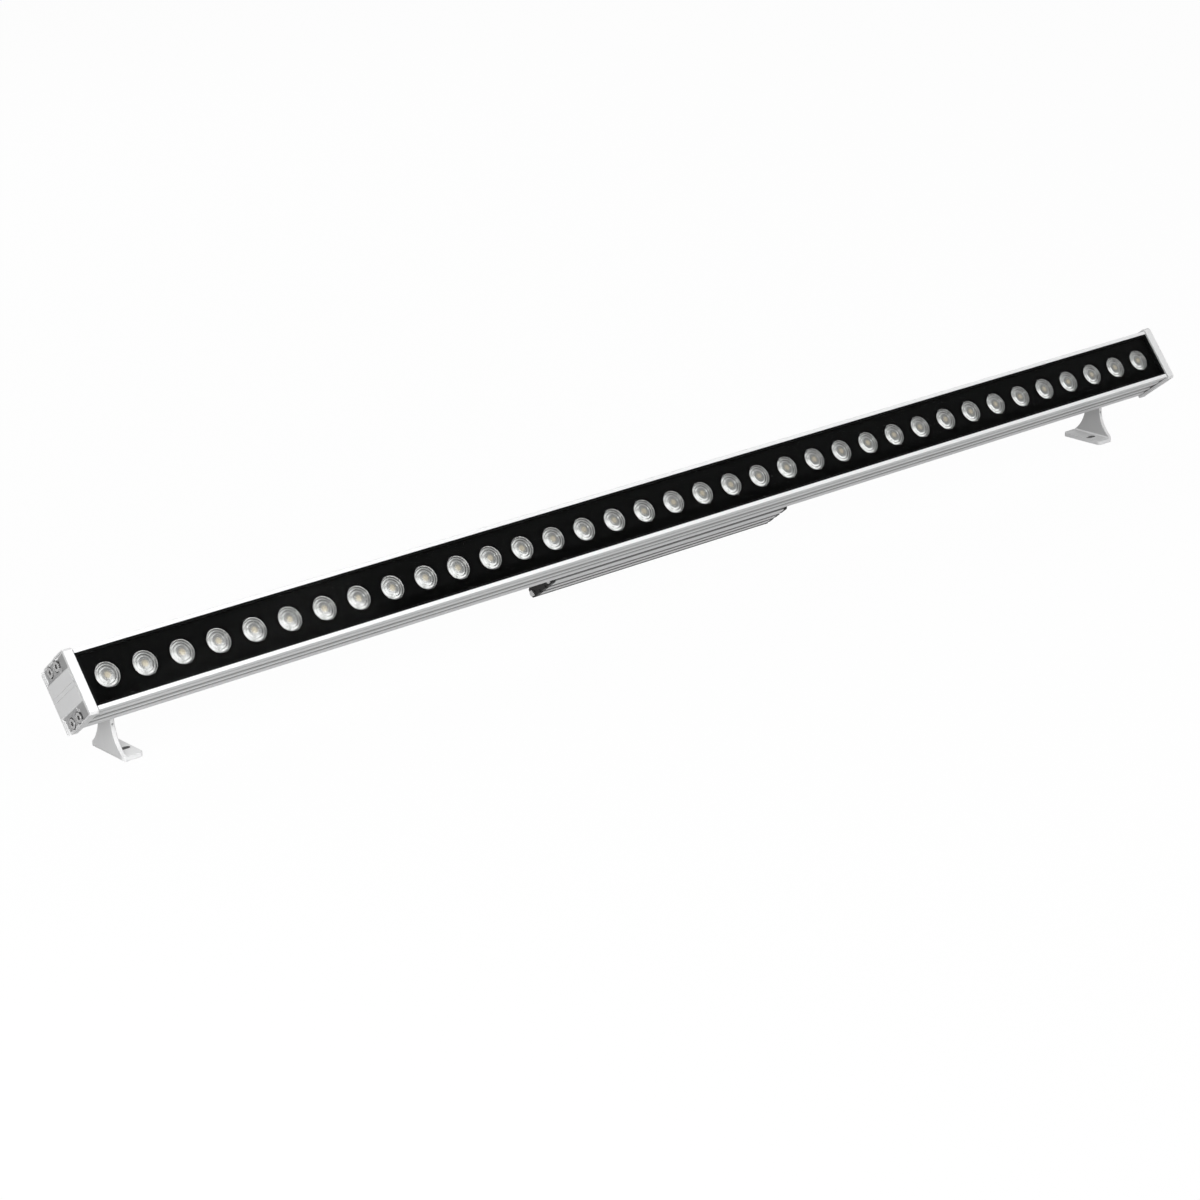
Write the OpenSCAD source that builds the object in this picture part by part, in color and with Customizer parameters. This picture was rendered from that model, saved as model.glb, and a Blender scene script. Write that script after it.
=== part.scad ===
// Outdoor wall washer: a slim extruded bar with a row of lensed LEDs on two tilting feet.
// The bar runs along X and its feet stand on z = 0. The origin lies midway between
// the centres of the two foot slots, and the light face looks towards -Y and up.

/* [Bar] */
// Overall length over both end caps
bar_length = 1000; // [900:10:1300]
// Angle of the light face above the horizontal
face_elevation = 37.4; // [20:0.2:70]
// Width of the housing across the light face
housing_w = 41; // [40:0.5:46]
// Depth of the housing from its front lips to its back
housing_depth = 35.6; // [35:0.2:40]
// Wall of the housing's sides and back
wall = 2.2; // [2:0.1:2.6]
// Width of each front lip
lip_w = 2.6; // [2.4:0.1:3.2]
// Thickness of the web that carries the LED boards
web_t = 3; // [2.4:0.1:3.4]
// Depth of the deepest valley along the housing's sides
side_relief = 1; // [0.6:0.05:1.2]

/* [T-slot] */
// Width of the mouth of the rear slot
slot_mouth = 8; // [7.6:0.1:8.6]
// Width of the slot inside
slot_inner_w = 12.4; // [12:0.1:13]
// Depth of the slot inside
slot_inner_depth = 5.5; // [5:0.1:6]
// Thickness of the lips on each side of the mouth
slot_lip = 2; // [1.8:0.1:2.4]

/* [Light] */
// Number of LEDs, shared evenly by three boards
led_count = 36; // [24:6:36]
// Distance from the end of the bar to the first LED
led_end_margin = 24; // [22:1:34]
// Diameter of each lens
lens_d = 17.2; // [15:0.2:18]
// Thickness of the front glass
glass_t = 3; // [2.6:0.1:3.4]
// Width of the sealant round the glass
sealant_w = 1.4; // [1.2:0.1:2]
// Thickness of the black lens panel
panel_t = 1.5; // [1.2:0.1:2]
// Height of a lens above the LED board
lens_h = 11; // [10:0.1:12]
// Gap between the LED boards and the housing's screw ports
board_side_gap = 1.05; // [1:0.05:2]
// Thickness of the LED boards
board_t = 1.6; // [1.2:0.1:2]

/* [End caps] */
// Thickness of an end cap
cap_t = 6.3; // [6:0.1:8]
// How far a cap stands out past the housing's sides
cap_overhang = 1.7; // [1.2:0.1:2.4]
// How far a cap stands out past the housing's back
cap_back_step = 1.5; // [1:0.1:2]
// Diameter of the counterbores for the cap screws
counterbore_d = 8.2; // [7.6:0.1:8.6]
// Width of the raised middle panel on a cap's outer face
cap_panel_w = 21.6; // [19:0.2:22.4]

/* [Driver box] */
// Length of the driver box with both end plates
box_length = 222; // [190:2:240]
// Depth of the driver box
box_depth = 29; // [28:0.5:34]
// Gap between the housing's back and the driver box
box_gap = 5; // [4:0.5:7]
// Wall of the driver box
box_wall = 2.5; // [2.2:0.1:3]
// Thickness of an end plate of the driver box
plate_t = 2.5; // [2:0.1:3]
// Outer diameter of the cable that the gland takes
cable_d = 6.2; // [5.6:0.1:6.6]

/* [Feet] */
// Distance from each end of the bar to the centre of its foot slot
foot_inset = 47; // [47:5:117]
// Height of the tilt axis above the ground
pivot_height = 41.7; // [41:0.1:50]
// Distance from the housing's back to the tilt axis
pivot_offset = 9; // [8.8:0.1:12]
// Thickness of the foot plate
foot_t = 3; // [2.6:0.1:3.4]
// Size of a foot across the bar
foot_depth = 38; // [37:0.5:44]
// Size of a foot along the bar
foot_length = 15.4; // [15:0.1:20]
// Width of the neck of a foot
neck_w = 14.4; // [13.8:0.1:14.6]
// Radius of the concave flare of a foot
flare_r = 27; // [26:0.2:28]
// Width of a foot slot
foot_slot_w = 4.5; // [4.3:0.1:5]
// Length of a foot slot from end to end
foot_slot_l = 8.4; // [7:0.1:9]
// How far the foot slots lie in front of the tilt axis
slot_offset = 5; // [0:0.5:6]
// Diameter of the pivot bolt
pivot_d = 6; // [5:0.1:6]

/* [Hidden] */

$fn = 64;
// Overrun of every cut
over = 1;
// Play of a round running fit, on the radius
fit = 0.05;
// Play of a sliding block in its slot, on each side
slide_play = 0.25;
// Play beside a turning plate
side_play = 0.1;

// Depths in the bar's own frame: z is zero at the front plane of the caps and falls to the back.
cap_step = 0.4;
glass_set = 0.5;
lip_z = -cap_step;
glass_z = lip_z - glass_set;
panel_z = glass_z - glass_t;
ledge_z = panel_z - panel_t;
// Gap between the glass and the highest point of a lens
lens_gap = 0.2;
lens_z = panel_z - lens_gap;
board_z = lens_z - lens_h;
web_z = board_z - board_t;
back_z = lip_z - housing_depth;
half_w = housing_w / 2;
recess_w = housing_w - 2 * lip_w;
pivot_z = back_z - pivot_offset;

// Housing ends, behind each cap and its gasket
gasket_t = 0.8;
housing_half = bar_length / 2 - cap_t - gasket_t;
ledge_w = 3;
ledge_t = 1.4;
back_r = 1.6;
lip_r = 0.4;
// Valleys along each side: front edge, bottom and back edge as shares of the housing's depth,
// then the valley's depth as a share of side_relief
side_valley_shares = [[0.13, 0.245, 0.3, 0.5], [0.36, 0.55, 0.615, 1], [0.65, 0.745, 0.82, 0.8]];
slot_wall = 1.6;
slot_floor_z = back_z + slot_lip + slot_inner_depth;

// Screw ports of the housing, two on each side
port_r = 1.75;
port_wall = 1.6;
port_inset = 3.1;
port_w = half_w - port_inset;
port_depth_front = 17.9;
port_pitch = 10.5;
board_w = 2 * (port_w - port_r - port_wall - board_side_gap);
port_places = [for (s = [-1, 1], d = [0, 1]) [s * port_w, -port_depth_front - d * port_pitch]];

// LEDs and boards
led_pitch = (bar_length - 2 * led_end_margin) / (led_count - 1);
leds_per_board = led_count / 3;
led_x = [for (i = [0 : led_count - 1]) (i - (led_count - 1) / 2) * led_pitch];
seam_x = leds_per_board * led_pitch / 2;
board_seam = 0.6;
board_end_gap = 3;
// Screws sit in the gaps between LEDs, counted in pitches from the board's middle
screw_steps = [-(leds_per_board / 2 - 2), -1, 1, leds_per_board / 2 - 2];
board_screw_x = [for (b = [-1, 0, 1], s = screw_steps) (b * leds_per_board + s) * led_pitch];
board_screw_r = 1.45;
board_screw_head_r = 2.7;
board_screw_head_h = 1.8;
board_screw_l = 3.8;
led_size = 3.45;
led_base_h = 0.9;
led_dome_r = 1.3;
link_size = [8, 5, 2.6];
link_w = 7;

// Lens form: a flange, a ring, a domed middle and a reflector body
lens_r = lens_d / 2;
lens_flange_t = 2;
lens_ring_w = 0.7;
lens_ring_depth = 0.35;
lens_well_r = 4.3;
lens_well_depth = 1.5;
lens_foot_r = 4.5;
lens_pocket_r = 3;
lens_pocket_h = 5;

// Lead wires between the driver and the middle LED board
wire_r = 0.75;
wire_step = 1.1;
wire_stub = 0.6;
grommet_r = 2.4;
grommet_flange_r = 2.9;
grommet_flange_t = 0.8;
grommet_gap = 0.1;
wire_w = slot_inner_w / 2 + slot_wall + grommet_flange_r + grommet_gap;
web_wire_hole_r = 2.2;

// Caps
cap_z = back_z - cap_back_step;
cap_half_w = half_w + cap_overhang;
cap_chamfer = 1.5;
cap_top_r = 4;
cap_bottom_r = 1.5;
cap_band = 2.2;
cap_line_w = 0.5;
cap_line_depth = 0.5;
cap_side_angle = 39;
cap_pad_start = 14.5;
cap_pad_depth = 1.9;
cap_rim_back = 1;
cap_rim_side = 0.8;
cap_pocket_front_depth = 0.6;
cap_pocket_back_depth = 2.2;
cap_groove_w = 0.35;
cap_groove_depth = 0.25;
cap_groove_places = [-1, 2];
counterbore_floor = 2;
cap_screw_head_r = 3.3;
cap_screw_head_h = 3.2;
cap_screw_l = 16;
hex_r = 1.75;
hex_depth = 2;

// Driver box
box_w = housing_w;
box_z = back_z - box_gap;
box_back_z = box_z - box_depth;
box_r = 2;
box_gasket_t = 0.8;
box_half = box_length / 2 - plate_t - box_gasket_t;
fin_pitch = 8;
fin_first = 9.6;
fin_groove_r = 1.3;
fin_groove_depth = 2.3;
back_groove_pitch = 8.2;
back_groove_depth = 1.5;
box_side_wall = 3.6;
box_port_r = 1.2;
box_port_boss_r = 2.6;
box_port_inset = 2.9;
box_port_places = [for (s = [-1, 1], z = [box_z - box_port_inset, box_back_z + box_port_inset])
    [s * (box_w / 2 - box_port_inset), z]];
// Rails that stand the box off the housing, one on each side of the slot's mouth
rail_w = 2;
rail_gap = 1.5;
rail_place = slot_mouth / 2 + rail_gap;
box_mid_z = (box_z + box_back_z) / 2;
box_screw_l = 9;
box_screw_head_r = 2.1;
box_screw_head_h = 1.3;
box_bolt_x = 85;
box_bolt_r = 2;
box_bolt_head_r = 3.6;
box_bolt_head_h = 2.2;
t_nut_l = 12;
t_nut_t = 4.4;

// Inside the driver box
driver_board_t = 1.6;
driver_board_end_gap = 13;
driver_board_drop = 6.5;
driver_board_z = box_z - box_wall - driver_board_drop;
driver_under_z = driver_board_z - driver_board_t;
potting_drop = 3.5;
potting_end_gap = 11;
part_play = 0.05;
driver_board_half = box_half - driver_board_end_gap;
transformer_set = 42.7;
transformer_x = transformer_set - driver_board_half;
transformer_side_gap = 4.9;
coil_side_gap = 3.4;
box_inner_w = box_w - 2 * box_side_wall;
transformer_size = [34, box_inner_w - 2 * transformer_side_gap, 12];
transformer_coil_size = [18, box_inner_w - 2 * coil_side_gap, 9];
capacitor_r = 4.5;
capacitor_h = 12;
capacitor_x = [-10, 6, 22];
choke_set = 38.7;
choke_x = driver_board_half - choke_set;
choke_r = 8;
choke_hole_r = 3.4;
choke_h = 7;

// Gland, beside the box's middle so that its axis passes the foot
gland_w = 4.5;
cable_r = cable_d / 2;
gland_thread_r = 5.9;
gland_wall = 0.9;
gland_hex_r = 8.1;
gland_flange_t = 4;
gland_collar_l = 6.5;
gland_inner_l = 7;
gland_nut_l = 10.5;
gland_lip_t = 3;
gland_play = 0.3;
gland_seal_wall = 1.9;
gland_seal_l = 9;
locknut_t = 3;

// Sliders
foot_x = bar_length / 2 - foot_inset;
slider_l = 24;
slider_set = 9.6;
slider_t = 5;
lug_t = 8;
lug_r = 6.3;
slider_neck_w = slot_mouth - 2 * slide_play;
slider_w = slot_inner_w - 2 * slide_play;
grub_r = 2;
grub_l = 4.7;
grub_places = [8.6, 2.6];

// Feet
slot_to_inner_edge = 5.8;
foot_outer_x = foot_x - slot_to_inner_edge + foot_length;
foot_inner_x = foot_x - slot_to_inner_edge;
upright_x = foot_outer_x - foot_t;
corner_r = 3;
bend_r = 2.2;
bend_inner_r = 1;
flare_drop = 2;
flare_top_z = flare_r - flare_drop;
pivot_r = pivot_d / 2;
washer_t = 1;
washer_r = 6;
bolt_head_r = 5;
bolt_head_h = 3.6;
bolt_hex_r = 2.3;
pivot_nut_t = 4.6;
pivot_nut_r = 5.7;
bolt_end = 0.8;
set_screw_r = 0.9;
set_screw_l = 3;
set_screw_set = 0.5;
set_screw_z = 22;
lug_x = upright_x - side_play - washer_t - lug_t;
slider_x = upright_x - slider_set;

// Places children drawn in the bar's own frame, at the tilt that the feet hold
module tilted()
    translate([0, slot_offset, pivot_height])
        rotate([90 - face_elevation, 0, 0])
            translate([0, 0, -pivot_z])
                children();

// Extrudes a cross-section of the bar along X, from x to x + len
module along_bar(x, len)
    translate([x, 0, 0]) rotate([90, 0, 90]) linear_extrude(len) children();

// Round rod along X
module rod_x(x, w, z, len, r)
    translate([x, w, z]) rotate([0, 90, 0]) cylinder(h = len, r = r);

// Round rod along the depth of the bar, from z down to z - len
module rod_z(x, w, z, len, r)
    translate([x, w, z - len]) cylinder(h = len, r = r);

// Hexagonal prism along X
module hex_x(x, w, z, len, r)
    translate([x, w, z]) rotate([0, 90, 0]) cylinder(h = len, r = r, $fn = 6);

// Draws children on both sides, left as a mirror image
module both_sides() {
    children();
    mirror([1, 0, 0]) children();
}

// Rectangle from corner a to corner b
module box2(a, b)
    translate([min(a.x, b.x), min(a.y, b.y)])
        square([abs(a.x - b.x), abs(a.y - b.y)]);

// What is cut away to round the corner at p, where the material lies towards -s
module corner_cut(p, s, r)
    translate([p.x - s.x * r, p.y - s.y * r])
        difference() {
            box2([0, 0], [s.x * (r + over), s.y * (r + over)]);
            circle(r);
        }

// Housing: the outer outline, with the flat-flanked valleys that leave ribs along its sides
module housing_outline()
    difference() {
        box2([-half_w, back_z], [half_w, lip_z]);
        for (s = [-1, 1]) {
            corner_cut([s * half_w, back_z], [s, -1], back_r);
            corner_cut([s * half_w, lip_z], [s, 1], lip_r);
            for (v = side_valley_shares)
                polygon([
                    [s * (half_w + over), lip_z - v[0] * housing_depth],
                    [s * half_w, lip_z - v[0] * housing_depth],
                    [s * (half_w - v[3] * side_relief), lip_z - v[1] * housing_depth],
                    [s * half_w, lip_z - v[2] * housing_depth],
                    [s * (half_w + over), lip_z - v[2] * housing_depth]]);
        }
    }

module housing_section() {
    inner_w = half_w - wall;
    ledge_inner_w = inner_w - ledge_w;
    block_w = slot_inner_w / 2 + slot_wall;
    difference() {
        union() {
            difference() {
                housing_outline();
                box2([-recess_w / 2, ledge_z], [recess_w / 2, over]);
                box2([-ledge_inner_w, ledge_z - ledge_t], [ledge_inner_w, ledge_z + over]);
                box2([-inner_w, web_z], [inner_w, ledge_z - ledge_t]);
                box2([-inner_w, back_z + wall], [inner_w, web_z - web_t]);
            }
            intersection() {
                housing_outline();
                for (p = port_places)
                    translate(p) circle(port_r + port_wall);
            }
            box2([-block_w, back_z], [block_w, slot_floor_z + slot_wall]);
        }
        for (p = port_places)
            translate(p) circle(port_r);
        box2([-slot_inner_w / 2, back_z + slot_lip], [slot_inner_w / 2, slot_floor_z]);
        box2([-slot_mouth / 2, back_z - over], [slot_mouth / 2, back_z + slot_lip + over]);
    }
}

module housing_profile()
    color("silver")
        tilted()
            difference() {
                along_bar(-housing_half, 2 * housing_half) housing_section();
                rod_z(0, wire_w, web_z + over, web_z - back_z - wall, web_wire_hole_r);
                rod_z(0, wire_w, back_z + wall + over, wall + 2 * over, grommet_r + fit);
                for (x = board_screw_x)
                    rod_z(x, 0, web_z + over, board_screw_l + over, board_screw_r + fit);
            }

// End cap: outline seen along the bar
module cap_outline()
    difference() {
        box2([-cap_half_w, cap_z], [cap_half_w, 0]);
        for (s = [-1, 1])
            translate([s * cap_half_w, 0])
                polygon([[0, -cap_chamfer], [s * over, -cap_chamfer], [s * over, over],
                    [-s * cap_chamfer, over], [-s * cap_chamfer, 0]]);
        corner_cut([cap_half_w, cap_z], [1, -1], cap_top_r);
        corner_cut([-cap_half_w, cap_z], [-1, -1], cap_bottom_r);
    }

// Space above a plane that starts at depth d0 under the outer face at z = z0 and sinks towards the back
module above_floor(z0, d0, angle)
    translate([cap_t - d0, 0, z0])
        rotate([0, angle, 0])
            translate([0, -housing_w, -2 * housing_depth])
                cube([cap_t + housing_w, 2 * housing_w, 4 * housing_depth]);

// Space above the sloped side of the middle panel, on side s
module above_side(s)
    translate([cap_t, s * cap_panel_w / 2, 0])
        rotate([0, 0, s * cap_side_angle])
            translate([0, -housing_w, -2 * housing_depth])
                cube([cap_t + housing_w, 2 * housing_w, 4 * housing_depth]);

// One sunk corner of the cap's outer face, between the depths z0 and z1 and out to the width w1
module sunk_corner(s, z0, z1, w1, d0, angle)
    intersection() {
        above_floor(-cap_band, d0, angle);
        above_side(s);
        along_bar(0, cap_t + over) box2([s * cap_panel_w / 2, z0], [s * w1, z1]);
    }

module cap_shape() {
    pad_run = -cap_z - cap_rim_back - cap_band;
    pocket_run = cap_pad_start - cap_band;
    pocket_angle = atan((cap_pocket_back_depth - cap_pocket_front_depth) / pocket_run);
    difference() {
        along_bar(0, cap_t) cap_outline();
        for (s = [-1, 1]) {
            sunk_corner(s, -cap_pad_start, cap_z + cap_rim_back, cap_half_w + over,
                0, atan(cap_pad_depth / pad_run));
            sunk_corner(s, -cap_band, -cap_pad_start, cap_half_w - cap_rim_side,
                cap_pocket_front_depth, pocket_angle);
        }
        along_bar(cap_t - cap_line_depth, cap_line_depth + over)
            box2([-cap_half_w - over, -cap_band], [cap_half_w + over, -cap_band - cap_line_w]);
        for (w = cap_groove_places)
            along_bar(cap_t - cap_groove_depth, cap_groove_depth + over)
                box2([w - cap_groove_w / 2, -cap_band], [w + cap_groove_w / 2, cap_z - over]);
        for (p = port_places) {
            rod_x(counterbore_floor, p.x, p.y, cap_t, counterbore_d / 2);
            rod_x(-over, p.x, p.y, cap_t, port_r + fit);
        }
    }
}

module right_cap_place()
    tilted() translate([bar_length / 2 - cap_t, 0, 0]) children();

module left_cap_place()
    tilted() mirror([1, 0, 0]) translate([bar_length / 2 - cap_t, 0, 0]) children();

module end_cap_left() color("gainsboro") left_cap_place() cap_shape();

module end_cap_right() color("gainsboro") right_cap_place() cap_shape();

module cap_gasket_shape() {
    inset = side_relief;
    along_bar(-gasket_t, gasket_t)
        difference() {
            box2([-half_w + inset, back_z + inset], [half_w - inset, panel_z]);
            for (p = port_places)
                translate(p) circle(port_r + fit);
        }
}

module cap_gasket_left() color("dimgray") left_cap_place() cap_gasket_shape();

module cap_gasket_right() color("dimgray") right_cap_place() cap_gasket_shape();

module end_cap_screws()
    color("lightgray")
        tilted()
            both_sides()
                translate([bar_length / 2 - cap_t, 0, 0])
                    for (p = port_places)
                        difference() {
                            union() {
                                rod_x(counterbore_floor, p.x, p.y, cap_screw_head_h, cap_screw_head_r);
                                rod_x(counterbore_floor - cap_screw_l, p.x, p.y, cap_screw_l, port_r - fit);
                            }
                            hex_x(counterbore_floor + cap_screw_head_h - hex_depth, p.x, p.y,
                                hex_depth + over, hex_r);
                        }

// Front glass, its sealant and the black panel behind it
module front_glass()
    color("lightblue", 0.4)
        tilted()
            along_bar(-housing_half + sealant_w, 2 * (housing_half - sealant_w))
                box2([-recess_w / 2 + sealant_w, panel_z], [recess_w / 2 - sealant_w, glass_z]);

module glass_sealant()
    color("black")
        tilted()
            difference() {
                along_bar(-housing_half, 2 * housing_half)
                    box2([-recess_w / 2, panel_z], [recess_w / 2, glass_z]);
                along_bar(-housing_half + sealant_w, 2 * (housing_half - sealant_w))
                    box2([-recess_w / 2 + sealant_w, panel_z - over],
                        [recess_w / 2 - sealant_w, glass_z + over]);
            }

module lens_panel()
    color("black")
        tilted()
            difference() {
                along_bar(-housing_half, 2 * housing_half)
                    box2([-recess_w / 2, ledge_z], [recess_w / 2, panel_z]);
                for (x = led_x)
                    rod_z(x, 0, panel_z + over, panel_t + 2 * over, lens_r + fit);
            }

// Half section of a lens: radius and height above the LED board
module lens_outline() {
    flange_under = lens_h - lens_flange_t;
    ring_in = lens_r - lens_ring_w;
    polygon([
        [lens_pocket_r, 0],
        [lens_foot_r, 0],
        [lens_foot_r + (lens_r - lens_foot_r) / 2, flange_under / 2 - lens_ring_w],
        [lens_r - lens_ring_w, flange_under - lens_ring_w],
        [lens_r, flange_under],
        [lens_r, lens_h - lens_ring_depth],
        [ring_in, lens_h - lens_ring_depth],
        [ring_in, lens_h - 2 * lens_ring_depth],
        [ring_in - lens_ring_w, lens_h - 2 * lens_ring_depth],
        [lens_well_r, lens_h],
        [lens_well_r, lens_h - lens_well_depth],
        [lens_well_r / 2, lens_h - lens_ring_w],
        [0, lens_h - lens_ring_w],
        [0, lens_pocket_h - lens_ring_depth],
        [lens_pocket_r, lens_pocket_h - lens_ring_depth]]);
}

module lenses()
    color("white", 0.6)
        tilted()
            for (x = led_x)
                translate([x, 0, board_z]) rotate_extrude() lens_outline();

module led_packages()
    color("khaki")
        tilted()
            for (x = led_x)
                translate([x, 0, board_z]) {
                    translate([-led_size / 2, -led_size / 2, 0]) cube([led_size, led_size, led_base_h]);
                    intersection() {
                        translate([0, 0, led_base_h]) sphere(led_dome_r);
                        cylinder(h = led_base_h + 2 * led_dome_r, r = led_size / 2);
                    }
                }

// One LED board from x0 to x1, with its screw holes and a hole for the lead wires
module led_board(x0, x1)
    color("whitesmoke")
        tilted()
            difference() {
                along_bar(x0, x1 - x0)
                    box2([-board_w / 2, web_z], [board_w / 2, board_z]);
                for (x = board_screw_x)
                    rod_z(x, 0, board_z + over, board_t + 2 * over, board_screw_r + fit);
                for (s = [-1, 1])
                    rod_z(s * wire_step, wire_w, board_z + over, board_t + 2 * over, wire_r + fit);
            }

module led_board_left() led_board(-housing_half + board_end_gap, -seam_x - board_seam / 2);

module led_board_centre() led_board(-seam_x + board_seam / 2, seam_x - board_seam / 2);

module led_board_right() led_board(seam_x + board_seam / 2, housing_half - board_end_gap);

module board_screws()
    color("silver")
        tilted()
            for (x = board_screw_x) {
                rod_z(x, 0, board_z + board_screw_head_h, board_screw_head_h, board_screw_head_r);
                rod_z(x, 0, board_z, board_t + board_screw_l - over, board_screw_r);
            }

module board_links()
    color("white")
        tilted()
            for (s = [-1, 1])
                translate([s * seam_x - link_size.x / 2, link_w - link_size.y / 2, board_z])
                    cube(link_size);

module lead_wires()
    color("firebrick")
        tilted()
            for (s = [-1, 1])
                rod_z(s * wire_step, wire_w, board_z + wire_stub,
                    board_z + wire_stub - driver_board_z, wire_r);

// Grommet through the housing's back and the box's base, flanged at both ends
module wire_grommet() {
    top_z = back_z + wall;
    bottom_z = box_z - box_wall;
    color("dimgray")
        tilted()
            difference() {
                union() {
                    rod_z(0, wire_w, top_z + grommet_flange_t, top_z - bottom_z + 2 * grommet_flange_t,
                        grommet_r);
                    rod_z(0, wire_w, top_z + grommet_flange_t, grommet_flange_t, grommet_flange_r);
                    rod_z(0, wire_w, bottom_z, grommet_flange_t, grommet_flange_r);
                }
                for (s = [-1, 1])
                    rod_z(s * wire_step, wire_w, top_z + over + grommet_flange_t,
                        top_z - bottom_z + 2 * (over + grommet_flange_t), wire_r + fit);
            }
}

// Driver box: the finned outline that its end plates share
module fin_groove(p, s, depth)
    translate(p) {
        translate([-s.x * (depth - fin_groove_r), -s.y * (depth - fin_groove_r)])
            circle(fin_groove_r);
        box2([-s.x * (depth - fin_groove_r) - s.y * fin_groove_r,
                -s.y * (depth - fin_groove_r) - s.x * fin_groove_r],
            [s.x * over + s.y * fin_groove_r, s.y * over + s.x * fin_groove_r]);
    }

module box_outline()
    difference() {
        box2([-box_w / 2, box_back_z], [box_w / 2, box_z]);
        for (s = [-1, 1], t = [-1, 1])
            corner_cut([s * box_w / 2, t > 0 ? box_z : box_back_z], [s, t], box_r);
        for (s = [-1, 1], i = [0 : 2])
            fin_groove([s * box_w / 2, box_z - fin_first - i * fin_pitch], [s, 0],
                i < 2 ? fin_groove_depth : back_groove_depth);
        for (i = [-2, -1, 1, 2])
            fin_groove([(i - sign(i) / 2) * back_groove_pitch, box_back_z], [0, -1], back_groove_depth);
    }

module box_cavity(inset)
    difference() {
        box2([-box_w / 2 + box_side_wall + inset, box_back_z + box_wall + inset],
            [box_w / 2 - box_side_wall - inset, box_z - box_wall]);
        for (p = box_port_places)
            translate(p) circle(box_port_boss_r + inset);
    }

module driver_box()
    color("silver")
        tilted()
            difference() {
                along_bar(-box_half, 2 * box_half)
                    difference() {
                        union() {
                            box_outline();
                            for (s = [-1, 1])
                                box2([s * rail_place, box_z - box_wall / 2],
                                    [s * (rail_place + rail_w), back_z]);
                        }
                        box_cavity(0);
                        for (p = box_port_places)
                            translate(p) circle(box_port_r);
                    }
                rod_z(0, wire_w, box_z + over, box_wall + 2 * over, grommet_r + fit);
                rod_z(0, wire_w, box_z - box_wall, driver_board_drop, grommet_flange_r + fit);
                for (s = [-1, 1])
                    rod_z(s * box_bolt_x, 0, box_z + over, box_wall + 2 * over, box_bolt_r + fit);
            }

module driver_plate_shape()
    difference() {
        along_bar(box_length / 2 - plate_t, plate_t) box_outline();
        for (p = box_port_places)
            rod_x(box_length / 2 - plate_t - over, p.x, p.y, plate_t + 2 * over, box_port_r + fit);
    }

module driver_plate_left() color("black") tilted() mirror([1, 0, 0]) driver_plate_shape();

module driver_plate_right()
    color("black")
        tilted()
            difference() {
                driver_plate_shape();
                rod_x(box_length / 2 - plate_t - over, gland_w, box_mid_z, plate_t + 2 * over,
                    gland_thread_r + fit);
            }

module driver_gasket_shape()
    along_bar(box_half, box_gasket_t)
        difference() {
            box_outline();
            box_cavity(0);
            for (p = box_port_places)
                translate(p) circle(box_port_r + fit);
        }

module driver_gasket_left() color("dimgray") tilted() mirror([1, 0, 0]) driver_gasket_shape();

module driver_gasket_right() color("dimgray") tilted() driver_gasket_shape();

module driver_plate_screws()
    color("gainsboro")
        tilted()
            both_sides()
                for (p = box_port_places) {
                    rod_x(box_length / 2, p.x, p.y, box_screw_head_h, box_screw_head_r);
                    rod_x(box_length / 2 - box_screw_l, p.x, p.y, box_screw_l, box_port_r - fit);
                }

// Driver: a board with its parts hanging below it, cast in potting
module driver_board()
    color("darkgreen")
        tilted()
            along_bar(-driver_board_half, 2 * driver_board_half)
                box2([-box_w / 2 + box_side_wall + fit, driver_under_z],
                    [box_w / 2 - box_side_wall - fit, driver_board_z]);

module transformer_form(play)
    for (size = [transformer_size, transformer_coil_size])
        translate([transformer_x - size.x / 2 - play, -size.y / 2 - play, driver_under_z - size.z - play])
            cube([size.x + 2 * play, size.y + 2 * play, size.z + play]);

module capacitor_form(play)
    for (x = capacitor_x)
        rod_z(x, 0, driver_under_z, capacitor_h + play, capacitor_r + play);

module choke_form(play)
    difference() {
        rod_z(choke_x, 0, driver_under_z, choke_h + play, choke_r + play);
        rod_z(choke_x, 0, driver_under_z + over, choke_h + play + 2 * over, choke_hole_r - play);
    }

module driver_transformer() color("goldenrod") tilted() transformer_form(0);

module driver_capacitors() color("darkslateblue") tilted() capacitor_form(0);

module driver_choke() color("peru") tilted() choke_form(0);

module driver_potting()
    color("darkgray")
        tilted()
            difference() {
                along_bar(-box_half + potting_end_gap, 2 * (box_half - potting_end_gap))
                    intersection() {
                        box_cavity(0);
                        box2([-box_w / 2, box_back_z], [box_w / 2, box_z - box_wall - potting_drop]);
                    }
                along_bar(-driver_board_half, 2 * driver_board_half)
                    box2([-box_w / 2, driver_under_z], [box_w / 2, driver_board_z]);
                transformer_form(part_play);
                capacitor_form(part_play);
                choke_form(part_play);
                for (s = [-1, 1])
                    rod_z(s * wire_step, wire_w, box_z, box_z - driver_board_z, wire_r + fit);
            }

// Gland in the right end plate
gland_x = box_length / 2;
gland_collar_x = gland_x + gland_flange_t;
gland_seal_x = gland_collar_x - gland_seal_wall;

module gland_body()
    color("dimgray")
        tilted()
            difference() {
                union() {
                    hex_x(gland_x, gland_w, box_mid_z, gland_flange_t, gland_hex_r);
                    rod_x(gland_x - gland_inner_l, gland_w, box_mid_z, gland_inner_l, gland_thread_r);
                    rod_x(gland_collar_x, gland_w, box_mid_z, gland_collar_l, gland_thread_r);
                }
                rod_x(gland_x - gland_inner_l - over, gland_w, box_mid_z,
                    gland_inner_l + gland_flange_t + gland_collar_l + 2 * over, cable_r + gland_play);
                rod_x(gland_seal_x, gland_w, box_mid_z, gland_seal_wall + gland_collar_l + over,
                    gland_thread_r - gland_wall);
            }

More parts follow.
